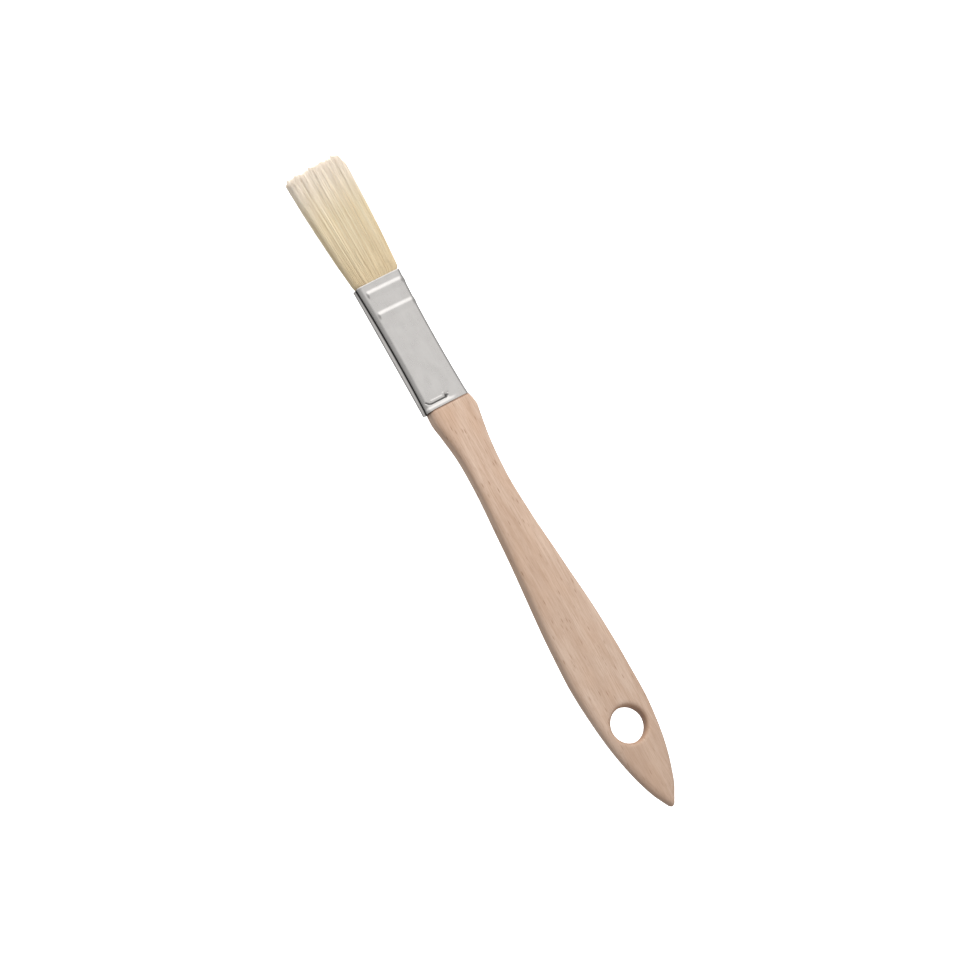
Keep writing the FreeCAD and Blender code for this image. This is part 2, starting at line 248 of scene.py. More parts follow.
def handle_height(x, station, reach):
    """Height of the face over the middle plane: rounded edges and a rounded rim at the hole."""
    half = handle_half_thickness(station)
    in_wood = station <= SHOULDER
    across = np.where(in_wood, np.minimum(EDGE_ACROSS, EDGE_MOST_ACROSS * reach), TENON_ACROSS)
    down = np.where(in_wood, np.minimum(EDGE_DOWN, EDGE_MOST_DOWN * half), TENON_DOWN)
    edge = np.clip(1 - (reach - np.abs(x)) / across, 0.0, 1.0)
    height = half - down * rounded_off(edge)
    from_rim = np.hypot(x, station - HOLE_AT) - HOLE_RADIUS
    rim = np.clip(1 - from_rim / RIM_ROUND, 0.0, 1.0)
    height = height - RIM_ROUND * rounded_off(rim)
    crown = CROWN * (x / np.maximum(reach, 1.0)) ** 2
    shoulder = np.clip(1 - (SHOULDER - station) / SHOULDER_ROUND, 0.0, 1.0)
    crown = crown + SHOULDER_DROP * rounded_off(shoulder)
    (high, long, wide), (low, short, narrow) = FACE_WAVES
    wave = high * np.sin(station / long + x / wide) + low * np.sin(station / short - x / narrow + 1.0)
    return height - np.where(in_wood, crown + wave + FACE_WAVE_ROOM, 0.0)


def make_handle():
    """The handle: two rounded faces joined round the outline and down the hanging hole's wall."""
    x, station, reach, ring = handle_face()
    rows, columns = x.shape
    height = handle_height(x, station, reach)
    y = TAIL_Y + station
    top = np.stack([x, y, MID_Z + height], axis=2).reshape(-1, 3)
    bottom = np.stack([x, y, MID_Z - height], axis=2).reshape(-1, 3)
    points = [top, bottom]
    index = np.arange(rows * columns).reshape(rows, columns)
    under = index + rows * columns

    in_patch = ring <= PATCH + ROUNDING
    hole_cell = in_patch[:-1, :-1] & in_patch[1:, 1:] & in_patch[1:, :-1] & in_patch[:-1, 1:]
    faces = []
    for i in range(rows - 1):
        for j in range(columns - 1):
            if hole_cell[i, j]:
                continue
            faces.append((index[i, j], index[i, j + 1], index[i + 1, j + 1], index[i + 1, j]))
            faces.append((under[i, j], under[i + 1, j], under[i + 1, j + 1], under[i, j + 1]))

    def boundary(i0, i1, j0, j1):
        """Grid places round a block of rows and columns."""
        loop = [(i0, j) for j in range(j0, j1)] + [(i, j1) for i in range(i0, i1)]
        loop += [(i1, j) for j in range(j1, j0, -1)] + [(i, j0) for i in range(i1, i0, -1)]
        return loop

    def join(loop, outward):
        """A wall between the two faces along a loop of grid places."""
        start = sum(len(block) for block in points)
        rims_top = [index[i, j] for i, j in loop]
        rims_bottom = [under[i, j] for i, j in loop]
        rings = [rims_top]
        for step in range(1, WALL_STEPS):
            t = step / WALL_STEPS
            block = top[rims_top] * (1 - t) + bottom[rims_top] * t
            points.append(block)
            rings.append(list(range(start, start + len(loop))))
            start += len(loop)
        rings.append(rims_bottom)
        for upper, lower in zip(rings[:-1], rings[1:]):
            for k in range(len(loop)):
                n = (k + 1) % len(loop)
                quad = (upper[k], lower[k], lower[n], upper[n])
                faces.append(quad if outward else quad[::-1])

    patch_rows, patch_columns = np.nonzero(in_patch)
    patch_edge = boundary(patch_rows.min(), patch_rows.max(), patch_columns.min(), patch_columns.max())
    join(boundary(0, rows - 1, 0, columns - 1), outward=True)
    join(patch_edge, outward=False)
    piece = make_piece("beech_handle", np.concatenate(points), faces)
    # The grid points over the hole belong to no face.
    clean = bmesh.new()
    clean.from_mesh(piece.data)
    loose = [vertex for vertex in clean.verts if not vertex.link_faces]
    bmesh.ops.delete(clean, geom=loose, context="VERTS")
    bmesh.ops.recalc_face_normals(clean, faces=clean.faces)
    clean.to_mesh(piece.data)
    clean.free()
    return piece


# ---------------------------------------------------------------- ferrule

SHEET = 0.3
END_SIZE = (15.7, 6.5)
WAIST_SIZE = (15.0, 6.4)
MOUTH_SIZE = (16.2, 6.6)
WAIST_FRACTION = 0.5
CORNER_RADIUS = 1.4
CROWN_RADIUS = 80.0
# The inner face follows the pressed forms no further out than this.
INNER_FOLLOWS = 0.4

BEADS_FROM_MOUTH = (3.8, 11.4)
BEAD_HALF_HEIGHT = 1.8
BEAD_PROUD = 0.44
BEAD_SLOPE = 0.012
# The beads fade at both corners of a face: out on the left, by a share on the right.
BEAD_FADE_LEFT = (5.7, 6.6)
BEAD_FADE_RIGHT = (6.0, 7.2)
BEAD_LOST_RIGHT = 0.65

RIM_PROUD = 0.10
RIM_FROM_MOUTH = 0.35
RIM_HALF_HEIGHT = 0.6
RIM_LEFT_SHARE = 0.4

# The turned lip at the ferrule's lower end, swollen on the front's left half.
LIP_PROUD, LIP_PROUD_ELSEWHERE = 0.30, 0.06
LIP_FADE = (1.2, 4.2)
LIP_FROM_END = 0.45
LIP_HALF_HEIGHT = 1.3
SHEET_EDGE_DROP = 0.10
SHEET_EDGE_HEIGHT = 0.16

# The crease, and the ridge that it throws up, as (across, up from the end) places.
CREASE = [(-6.9, 3.2), (-6.1, 2.45), (-5.2, 2.15), (0.3, 2.1)]
CREASE_DEPTH, CREASE_WIDTH = 0.30, 0.26
RIDGE = [(-4.9, 2.95), (-0.9, 2.9)]
RIDGE_HEIGHT, RIDGE_WIDTH = 0.13, 0.32
# The stake mark's place, and its pit, its second pit and its burr as (across, up, height, width, squeeze).
STAKE = (0.6, 2.55)
STAKE_MARKS = ((0.0, 0.0, -0.62, 0.55, 0.9), (0.7, 0.75, -0.26, 0.34, 1.0), (-0.7, 0.9, 0.17, 0.40, 1.0))

SEAM_REACH = 8.4
# The seam's rib over the left side, as (height from the middle plane, share of its full reach).
SEAM_RIB = [
    (-2.3, 0.0), (-2.1, 0.35), (-1.8, 0.8), (-1.4, 0.97), (-0.9, 1.0), (-0.65, 0.97), (-0.55, 0.90),
    (-0.42, 0.30), (-0.35, 0.0),
]
# The gap beside the rib: where it sinks and rises again, and where the painted shade in it starts and ends.
GAP_DEPTH = 0.2
GAP_SPAN = (-0.31, -0.23, 1.15, 1.55)
GAP_PAINTED_SHADE = (-0.37, -0.20, 1.2, 1.5)
# The rib's outer edge is painted dark as a painted dark reflection, fading out between these heights.
RIB_DARK_REFLECTION = 0.2
RIB_DARK_REFLECTION_FADE = (-1.1, -0.8)
# How dark the crease and the stake pit are painted as shade, and how wide the pit's painted shade is.
PRESSING_SHADE = 0.9
PIT_SHADE_WIDTH = 0.5

# The sheet is never quite even: height, then waves as (turn per mm across, turn per mm along, start).
UNEVENNESS = 0.003
UNEVEN_WAVES = ((0.55, 0.21, 1.3), (-0.31, 0.37, 0.0), (0.9, -0.13, 2.0))


def ferrule_samples():
    """Samples round the section, as (part, place) pairs: place runs from 0 to 1 along each part."""
    counts = [
        ("front", 110), ("front_right", 9), ("right", 10), ("back_right", 8),
        ("back", 36), ("back_left", 8), ("left", 46), ("front_left", 9),
    ]
    samples = []
    for part, count in counts:
        samples += [(part, i / count) for i in range(count)]
    return samples


def section_points(width, thickness, radius, crown, samples):
    """Points and outward normals round the crowned section, from the front face's left end clockwise."""
    corner_x = width / 2 - radius
    crown_centre = thickness / 2 - crown
    corner_z = crown_centre + math.sqrt((crown - radius) ** 2 - corner_x ** 2)
    tilt = math.asin(corner_x / (crown - radius))
    points = []
    normals = []
    for part, place in samples:
        if part in ("front", "back"):
            angle = tilt * (2 * place - 1)
            side = 1 if part == "front" else -1
            point = (side * crown * math.sin(angle), side * (crown_centre + crown * math.cos(angle)))
            normal = (side * math.sin(angle), side * math.cos(angle))
        elif part in ("right", "left"):
            side = 1 if part == "right" else -1
            point = (side * width / 2, side * corner_z * (1 - 2 * place))
            normal = (side, 0.0)
        else:
            turn = math.pi / 2 - tilt
            start, x_side, z_side = {
                "front_right": (tilt, 1, 1),
                "back_right": (math.pi / 2, 1, -1),
                "back_left": (math.pi + tilt, -1, -1),
                "front_left": (1.5 * math.pi, -1, 1),
            }[part]
            angle = start + turn * place
            normal = (math.sin(angle), math.cos(angle))
            point = (x_side * corner_x + radius * normal[0], z_side * corner_z + radius * normal[1])
        points.append(point)
        normals.append(normal)
    return np.array(points), np.array(normals)


def ferrule_rows():
    """Y of the rows along the ferrule, close together where it is pressed, lipped or staked."""
    spans = [
        (0.0, 0.3, 5), (0.3, 5.0, 46), (5.0, 32.8, 20), (32.8, 36.8, 28), (36.8, 40.4, 6), (40.4, 44.4, 28),
        (44.4, 45.4, 5), (45.4, 46.1, 9),
    ]
    rows = []
    for low, high, count in spans:
        rows += [low + (high - low) * i / count for i in range(count)]
    rows += [46.14, FERRULE_LENGTH]
    return FERRULE_END_Y + np.array(rows)


def ferrule_size_at(y):
    """Width and thickness of the ferrule's drawn form, narrowest at its waist."""
    along = (y - FERRULE_END_Y) / FERRULE_LENGTH
    size = []
    for end, waist, mouth in zip(END_SIZE, WAIST_SIZE, MOUTH_SIZE):
        # The parabola through the three sizes.
        a = np.interp(along, [0, 1], [end, mouth])
        dip = np.interp(WAIST_FRACTION, [0, 1], [end, mouth]) - waist
        size.append(a - dip * along * (1 - along) / (WAIST_FRACTION * (1 - WAIST_FRACTION)))
    return size


def bead_form(x, from_mouth, left_side):
    """The two pressed beads, full on both faces, running out at the left and low round the right side."""
    share = 1 - BEAD_LOST_RIGHT * smooth_step(np.abs(x), *BEAD_FADE_RIGHT)
    share = np.where(left_side, 0.0, share)
    share = share * np.where(x < 0, 1 - smooth_step(-x, *BEAD_FADE_LEFT), 1.0)
    past_slope = from_mouth - BEAD_SLOPE * x
    height = sum(raised(past_slope - bead, BEAD_HALF_HEIGHT) for bead in BEADS_FROM_MOUTH)
    return BEAD_PROUD * share * height


def end_form(part, place, x, up, from_mouth, left_side):
    """The ferrule's ends: the rim rolled out at the mouth, the turned lip and the sheet's rounded edges."""
    rim = RIM_PROUD * raised(from_mouth - RIM_FROM_MOUTH, RIM_HALF_HEIGHT)
    rim = rim * np.where(left_side, RIM_LEFT_SHARE, 1.0)
    fading = LIP_PROUD - (LIP_PROUD - LIP_PROUD_ELSEWHERE) * smooth_step(x, *LIP_FADE)
    lip = np.where(part == "front", fading, LIP_PROUD_ELSEWHERE)
    lip = np.where(part == "front_left", LIP_PROUD * place + LIP_PROUD_ELSEWHERE * (1 - place), lip)
    lip = lip * raised(up - LIP_FROM_END, LIP_HALF_HEIGHT)
    edges = sum(1 - smooth_step(from_edge, 0.0, SHEET_EDGE_HEIGHT) for from_edge in (up, from_mouth))
    return rim + lip - SHEET_EDGE_DROP * edges


def stake_form(part, x, up):
    """The crease from the left corner to the punched stake mark in the middle of the front."""
    ridge = RIDGE_HEIGHT * bell(polyline_distance(x, up, RIDGE), RIDGE_WIDTH)
    crease = CREASE_DEPTH * bell(polyline_distance(x, up, CREASE), CREASE_WIDTH)
    out = np.where(np.isin(part, ["front", "front_left"]), ridge - crease, 0.0)
    for across, above, height, width, squeeze in STAKE_MARKS:
        distance = np.hypot(x - STAKE[0] - across, (up - STAKE[1] - above) * squeeze)
        out = out + np.where(part == "front", height * bell(distance, width), 0.0)
    return out


def seam_form(z, half_width):
    """The lapped seam's rib and the gap beside it, z being measured up from the middle plane."""
    heights, shares = zip(*SEAM_RIB)
    rib = np.interp(z, heights, shares) * (SEAM_REACH - half_width)
    return rib - GAP_DEPTH * within(z, *GAP_SPAN)


def pressed_form(part, place, x, z, y):
    """How far the sheet stands out of its drawn form."""
    up = y - FERRULE_END_Y
    from_mouth = MOUTH_Y - y
    left_side = np.isin(part, ["left", "back_left", "front_left"])
    out = bead_form(x, from_mouth, left_side)
    out = out + end_form(part, place, x, up, from_mouth, left_side)
    out = out + stake_form(part, x, up)
    out = out + np.where(left_side, seam_form(z, ferrule_size_at(y)[0] / 2), 0.0)
    return out + UNEVENNESS * sum(np.sin(a * x + b * up + start) for a, b, start in UNEVEN_WAVES)


def ferrule_painted_shade(part, x, z, up):
    """How dark the sheet is painted, from 0 to 1: painted shade in the seam's gap, a painted dark reflection
    on the rib's outer edge, and painted shade in the crease and the stake pit.
    """
    on_side = part == "left"
    gap_shade = on_side * within(z, *GAP_PAINTED_SHADE)
    rib_reflection = RIB_DARK_REFLECTION * on_side * (1 - smooth_step(z, *RIB_DARK_REFLECTION_FADE))
    crease = PRESSING_SHADE * bell(polyline_distance(x, up, CREASE), CREASE_WIDTH)
    crease = crease * np.isin(part, ["front", "front_left"])
    pit = PRESSING_SHADE * bell(np.hypot(x - STAKE[0], up - STAKE[1]), PIT_SHADE_WIDTH) * (part == "front")
    return np.maximum.reduce([gap_shade, rib_reflection, crease, pit])


def ring_faces(rows, columns):
    """Quads of a closed tube of rows by columns, the rings joined end to end in both directions."""
    faces = []
    for i in range(rows):
        a = i * columns
        b = ((i + 1) % rows) * columns
        for j in range(columns):
            k = (j + 1) % columns
            faces.append((a + j, b + j, b + k, a + k))
    return faces


def make_ferrule():
    """The ferrule as one closed sheet: its outside, then its inside going back down."""
    samples = ferrule_samples()
    part = np.array([name for name, _ in samples])
    place = np.array([value for _, value in samples])
    rings = []
    shade_rows = []
    inside = []
    # The seam's rib is solid, so the inner face doesn't follow it.
    inner_limit = np.where(part == "left", 0.0, INNER_FOLLOWS)
    for y in ferrule_rows():
        width, thickness = ferrule_size_at(y)
        flat, normal = section_points(width, thickness, CORNER_RADIUS, CROWN_RADIUS, samples)
        out = pressed_form(part, place, flat[:, 0], flat[:, 1], y)
        outer = flat + normal * out[:, None]
        inner = flat + normal * (np.minimum(out, inner_limit) - SHEET)[:, None]
        rings.append(np.column_stack([outer[:, 0], np.full(len(outer), y), outer[:, 1] + MID_Z]))
        inside.append(np.column_stack([inner[:, 0], np.full(len(inner), y), inner[:, 1] + MID_Z]))
        # How dark each ring is painted, as shade and as a dark reflection.
        shade_rows.append(ferrule_painted_shade(part, flat[:, 0], flat[:, 1], y - FERRULE_END_Y))
    points = np.concatenate(rings + inside[::-1])
    faces = ring_faces(2 * len(rings), len(samples))
    piece = make_piece("ferrule_sheet", points, faces)
    # The painted shade and dark reflection reach the metal's material as this attribute.
    attribute = piece.data.attributes.new("painted_shade_mask", "FLOAT", "POINT")
    values = np.concatenate([np.concatenate(shade_rows), np.zeros(len(samples) * len(inside))])
    attribute.data.foreach_set("value", values.astype(np.float32))
    return piece


# ---------------------------------------------------------------- bristles

ROOT_Y = MOUTH_Y - 25.0
ROOT_HALF_WIDTH = 6.7
ROOT_NEAR, ROOT_FAR = 0.75, 2.6
MOUTH_REACH = (7.6, 7.75)
MOUTH_HALF_THICKNESS = 2.95
# The strands swell out to this reach just past the mouth.
SWELL_REACH = (7.9, 8.5)
SWELL_END = 0.035
TIP_REACH = (10.5, 9.85)
TIP_HALF_THICKNESS = 3.4
# Half the gap between the banks, and the room past the edges for stray tips.
NEAREST_MIDDLE = 0.05
TIP_ROOM_ACROSS, TIP_ROOM_DEEP = 0.12, 0.1

# The trimmed line of the tips over the width: a drop at both corners, a notch and a slope.
TIPS_PAST = 0.75
LEFT_CORNER_DROP, LEFT_CORNER_SPAN = 0.75, (0.60, 1.0)
RIGHT_CORNER_DROP, RIGHT_CORNER_SPAN = 3.2, (0.80, 1.02)
RIGHT_CORNER_SHARPNESS = 1.5
NOTCH_DEPTH, NOTCH_AT, NOTCH_WIDTH = 0.5, -0.47, 0.10
TRIM_SLOPE, TRIM_LEVEL_AT = 0.225, 0.55

FILAMENTS_PER_BANK = 1600
# One filament in so many lies in the dense layer at the face, or at a flank, and how deep that layer is.
FACE_ONE_IN, FACE_LAYER = 3, 0.16
FLANK_ONE_IN, FLANK_LAYER = 8, 0.05
# How far the section's corners are rounded: the depth left at the corner, and the rounding's form.
CORNER_LEFT = 0.25
CORNER_FORM = (3, 0.45)
# Places along a filament: 0 at the root, 1 at the mouth and 2 at the tip.
STATIONS = [0.0, 0.6, 0.96, 1.0, 1.012, 1.035, 1.10, 1.23, 1.36, 1.49, 1.62, 1.75, 1.87, 2.0]

# Filaments gather in locks, which are narrow across and longer through the bank.
LOCKS = 90
LOCK_NARROWNESS = (9.5, 3.4)
LOCK_GATHER_ACROSS, LOCK_GATHER_DEEP = 0.06, 0.03
LOCK_LENGTH_VARIES = 0.28
LOCK_LEAN_ACROSS, LOCK_LEAN_DEEP = 0.10, 0.05
SHORT_SHARE = 0.22
SHORT_BY = (0.3, 3.2)
LENGTH_VARIES = 0.30
TIP_VARIES_ACROSS, TIP_VARIES_DEEP = 0.13, 0.07
BOW, SWAY = 0.14, 0.09
OPEN_OUT_EARLY = 0.06

RADII = (0.075, 0.105)
TAPER, TIP_TAPER = 0.28, 0.34
TIP_TAPER_START = 0.86
TIP_POINT = 1.6
TUBE_SIDES = 4
TONES = 64
# Room in the map beside a tone's column and past a filament's ends.
COLUMN_MARGIN = 0.15
END_MARGIN = 0.01


def tip_line(across):
    """Y of the trimmed tips over the width, across running from -1 at the left to +1 at the right."""
    left_corner = LEFT_CORNER_DROP * smooth_step(-across, *LEFT_CORNER_SPAN)
    right_corner = RIGHT_CORNER_DROP * smooth_step(across, *RIGHT_CORNER_SPAN) ** RIGHT_CORNER_SHARPNESS
    notch = NOTCH_DEPTH * bell(across - NOTCH_AT, NOTCH_WIDTH)
    slope = TRIM_SLOPE * (TRIM_LEVEL_AT - across)
    return TIP_Y + TIPS_PAST - slope - left_corner - right_corner - notch


def spread(across, reach):
    """X for a place over the width, with its own reach to the left and to the right."""
    return np.where(across < 0, across * reach[0], across * reach[1])


def filament_places(rng):
    """Places in the bank: across it from -1 to 1, and deep from 0 at its inner side to 1 at its face."""
    across = rng.uniform(-1, 1, FILAMENTS_PER_BANK)
    deep = rng.uniform(0, 1, FILAMENTS_PER_BANK)
    # The outermost layers are dense, so that the bank has a firm surface.
    at_face = FILAMENTS_PER_BANK // FACE_ONE_IN
    deep[:at_face] = 1 - FACE_LAYER * rng.uniform(0, 1, at_face)
    flank = rng.integers(0, 2, FILAMENTS_PER_BANK // FLANK_ONE_IN) * 2 - 1
    across[-len(flank):] = flank * (1 - FLANK_LAYER * rng.uniform(0, 1, len(flank)))
    return across, deep


def lock_values(across, deep, rng):
    """For each filament, its lock's place across and deep, its length and its lean across and deep."""
    lock_across = rng.uniform(-1, 1, LOCKS)
    lock_deep = rng.uniform(0, 1, LOCKS)
    apart_across = (across[:, None] - lock_across) * LOCK_NARROWNESS[0]
    apart_deep = (deep[:, None] - lock_deep) * LOCK_NARROWNESS[1]
    nearest = np.argmin(apart_across ** 2 + apart_deep ** 2, axis=1)
    length = rng.normal(0, LOCK_LENGTH_VARIES, LOCKS)
    lean_across = rng.normal(0, LOCK_LEAN_ACROSS, LOCKS)
    lean_deep = rng.normal(0, LOCK_LEAN_DEEP, LOCKS)
    return [values[nearest] for values in (lock_across, lock_deep, length, lean_across, lean_deep)]


def filament_lines(side, rng):
    """One bank's centre lines and radii, by filament and station, and the stations as places from 0 to 1."""
    count = FILAMENTS_PER_BANK
    across, deep = filament_places(rng)
    power, root = CORNER_FORM
    corner = CORNER_LEFT + (1 - CORNER_LEFT) * np.clip(1 - np.abs(across) ** power, 0, 1) ** root
    stations = np.array(STATIONS)
    inside = np.clip(stations, 0, 1)[None, :]
    free = np.clip(stations - 1, 0, 1)[None, :]

    lock_across, lock_deep, lock_length, lean_across, lean_deep = lock_values(across, deep, rng)
    short = np.where(rng.uniform(0, 1, count) < SHORT_SHARE, rng.uniform(*SHORT_BY, count), 0.0)
    tips = tip_line(across) + lock_length - np.abs(rng.normal(0, LENGTH_VARIES, count)) - short

    root_x = across * ROOT_HALF_WIDTH
    mouth_x = spread(across, MOUTH_REACH)
    tip_x = spread(across, TIP_REACH)
    tip_x = tip_x + LOCK_GATHER_ACROSS * (spread(lock_across, TIP_REACH) - tip_x) + lean_across
    tip_x = tip_x + rng.normal(0, TIP_VARIES_ACROSS, count)
    limit = np.where(tip_x < 0, TIP_REACH[0], TIP_REACH[1]) + TIP_ROOM_ACROSS
    tip_x = np.clip(tip_x, -limit, limit)

    root_z = (ROOT_NEAR + (ROOT_FAR - ROOT_NEAR) * deep) * corner
    mouth_z = (NEAREST_MIDDLE + (MOUTH_HALF_THICKNESS - NEAREST_MIDDLE) * deep) * corner
    tip_z = (NEAREST_MIDDLE + (TIP_HALF_THICKNESS - NEAREST_MIDDLE) * deep) * (0.5 + 0.5 * corner)
    tip_z = tip_z + LOCK_GATHER_DEEP * (lock_deep * TIP_HALF_THICKNESS - tip_z) + lean_deep
    tip_z = np.clip(tip_z + rng.normal(0, TIP_VARIES_DEEP, count), 0.0, TIP_HALF_THICKNESS + TIP_ROOM_DEEP)

    arch = np.sin(free * math.pi)
    bow = rng.normal(0, BOW, count)[:, None] * arch
    sway = rng.normal(0, SWAY, count)[:, None] * arch
    open_out = free + OPEN_OUT_EARLY * arch
    swell = smooth_step(free, 0.0, SWELL_END) * (1 - free)
    x = root_x[:, None] + (mouth_x - root_x)[:, None] * inside + (tip_x - mouth_x)[:, None] * open_out + bow
    x = x + (spread(across, SWELL_REACH) - mouth_x)[:, None] * swell
    z = root_z[:, None] + (mouth_z - root_z)[:, None] * inside ** 3
    z = z + (tip_z - mouth_z)[:, None] * open_out + sway
    y = ROOT_Y + (MOUTH_Y - ROOT_Y) * inside + (tips - MOUTH_Y)[:, None] * free
    lines = np.stack([x, y, MID_Z + side * z], axis=2)

    thick = rng.uniform(*RADII, count)[:, None]
    taper = 1 - TAPER * free - TIP_TAPER * smooth_step(free, TIP_TAPER_START, 1.0)
    return lines, thick * taper, stations / stations[-1]


def tube_mesh(name, lines, radii, along, rng):
    """Thin closed tubes along the lines, with a UV layer: a tone class across and root to tip along."""
    count, stations, _ = lines.shape
    tangent = np.gradient(lines, axis=1)
    tangent /= np.linalg.norm(tangent, axis=2, keepdims=True)
    side_way = np.cross(tangent, np.array([0.0, 0.0, 1.0]))
    side_way /= np.linalg.norm(side_way, axis=2, keepdims=True)
    up_way = np.cross(side_way, tangent)
    turn = rng.uniform(0, 2 * math.pi, count)[:, None] + np.arange(TUBE_SIDES) * 2 * math.pi / TUBE_SIDES
    ring = (
        side_way[:, :, None, :] * np.cos(turn)[:, None, :, None]
        + up_way[:, :, None, :] * np.sin(turn)[:, None, :, None]
    )
    points = lines[:, :, None, :] + ring * radii[:, :, None, None]
    points = points.reshape(count, -1, 3)
    tip = lines[:, -1] + tangent[:, -1] * radii[:, -1, None] * TIP_POINT
    root = lines[:, 0]
    points = np.concatenate([points, root[:, None], tip[:, None]], axis=1)
    per_tube = points.shape[1]

    quads = []
    for i in range(stations - 1):
        this, following = i * TUBE_SIDES, (i + 1) * TUBE_SIDES
        for j in range(TUBE_SIDES):
            k = (j + 1) % TUBE_SIDES
            quads.append((this + j, this + k, following + k, following + j))
    ends = []
    last = (stations - 1) * TUBE_SIDES
    for j in range(TUBE_SIDES):
        k = (j + 1) % TUBE_SIDES
        ends.append((per_tube - 2, k, j))
        ends.append((per_tube - 1, last + j, last + k))

    faces = []
    tube_faces = quads + ends
    for n in range(count):
        start = n * per_tube
        faces += [tuple(start + v for v in face) for face in tube_faces]

    mesh = bpy.data.meshes.new(name)
    mesh.from_pydata((points.reshape(-1, 3) * MM).tolist(), [], faces)
    mesh.polygons.foreach_set("use_smooth", [True] * len(mesh.polygons))

    # Every face of a filament lies in its tone's column of the map.
    tone = rng.integers(0, TONES, count)
    v_of_point = np.concatenate([np.repeat(along, TUBE_SIDES), [along[0], along[-1]]])
    left, right = COLUMN_MARGIN, 1 - COLUMN_MARGIN
    u_of_corner = []
    v_of_corner = []
    for face in tube_faces:
        if len(face) == 4:
            u_of_corner += [left, right, right, left]
        else:
            u_of_corner += [0.5, left, right]
        v_of_corner += [v_of_point[v] for v in face]
    u = (tone[:, None] + np.array(u_of_corner)[None, :]) / TONES
    v = np.broadcast_to(np.array(v_of_corner) * (1 - 2 * END_MARGIN) + END_MARGIN, u.shape)
    layer = mesh.uv_layers.new(name="OFBake")
    layer.data.foreach_set("uv", np.stack([u, v], axis=2).ravel().astype(np.float32))

    piece = bpy.data.objects.new(name, mesh)
    bpy.context.scene.collection.objects.link(piece)
    return piece


def make_bristles():
    """The front and back banks of filaments, continuous from the resin to the tips."""
    banks = []
    for name, side, seed in (("bristle_filaments_front", 1, 11), ("bristle_filaments_back", -1, 23)):
        rng = np.random.default_rng(seed)
        lines, radii, along = filament_lines(side, rng)
        banks.append(tube_mesh(name, lines, radii, along, rng))
    return banks


# ---------------------------------------------------------------- materials

class Shader:
    """A material's node tree with short calls for adding nodes and linking them."""

    def __init__(self, name):
        self.material = bpy.data.materials.new(name)
        self.material.use_nodes = True
        self.tree = self.material.node_tree
        self.surface = self.tree.nodes["Principled BSDF"]

    def node(self, kind, inputs=None, **settings):
        """Adds a node; inputs are values or sockets by name or number."""
        node = self.tree.nodes.new(kind)
        for key, value in settings.items():
            setattr(node, key, value)
        for key, value in (inputs or {}).items():
            self.feed(node.inputs[key], value)
        return node

    def feed(self, socket, value):
        """Links a socket to the input, or sets its value."""
        if isinstance(value, bpy.types.NodeSocket):
            self.tree.links.new(value, socket)
        else:
            socket.default_value = value

    def place(self, stretch):
        """Object coordinates in millimetres, divided by a grain size along each axis."""
        coordinates = self.node("ShaderNodeTexCoord").outputs["Object"]
        scale = tuple(1 / (MM * size) for size in stretch)
        return self.node("ShaderNodeMapping", {"Vector": coordinates, "Scale": scale}).outputs["Vector"]

    def noise(self, stretch, detail=2.0, roughness=0.5, distortion=0.0):
        """Noise with features of about the given size, in millimetres along X, Y and Z."""
        inputs = {"Vector": self.place(stretch), "Scale": 1.0, "Detail": detail, "Roughness": roughness}
        inputs["Distortion"] = distortion
        return self.node("ShaderNodeTexNoise", inputs).outputs["Fac"]

    def ramp(self, value, low, high, out_low=0.0, out_high=1.0):
        """Maps low..high to out_low..out_high, held at the ends."""
        inputs = {"Value": value, "From Min": low, "From Max": high, "To Min": out_low, "To Max": out_high}
        return self.node("ShaderNodeMapRange", inputs).outputs["Result"]

    def math(self, operation, a, b=0.0):
        return self.node("ShaderNodeMath", {0: a, 1: b}, operation=operation).outputs["Value"]

    def mix(self, factor, a, b, blend="MIX"):
        """Mixes two colours."""
        node = self.node("ShaderNodeMix", data_type="RGBA", blend_type=blend)
        self.feed(node.inputs[0], factor)
        self.feed(node.inputs[6], a)
        self.feed(node.inputs[7], b)
        return node.outputs[2]

    def bump(self, height, distance, strength=1.0, below=None):
        """Bump of a real height in millimetres."""
        inputs = {"Height": height, "Distance": distance * MM, "Strength": strength}
        if below is not None:
            inputs["Normal"] = below
        return self.node("ShaderNodeBump", inputs).outputs["Normal"]

    def finish(self, **inputs):
        """Feeds the surface shader's inputs, given by their names with underscores."""
        for key, value in inputs.items():
            self.feed(self.surface.inputs[key.replace("_", " ")], value)
        return self.material


def rgb(red, green, blue):
    """A colour from screen values of 0 to 255."""
    def linear(value):
        value /= 255
        return value / 12.92 if value <= 0.04045 else ((value + 0.055) / 1.055) ** 2.4
    return (linear(red), linear(green), linear(blue), 1.0)


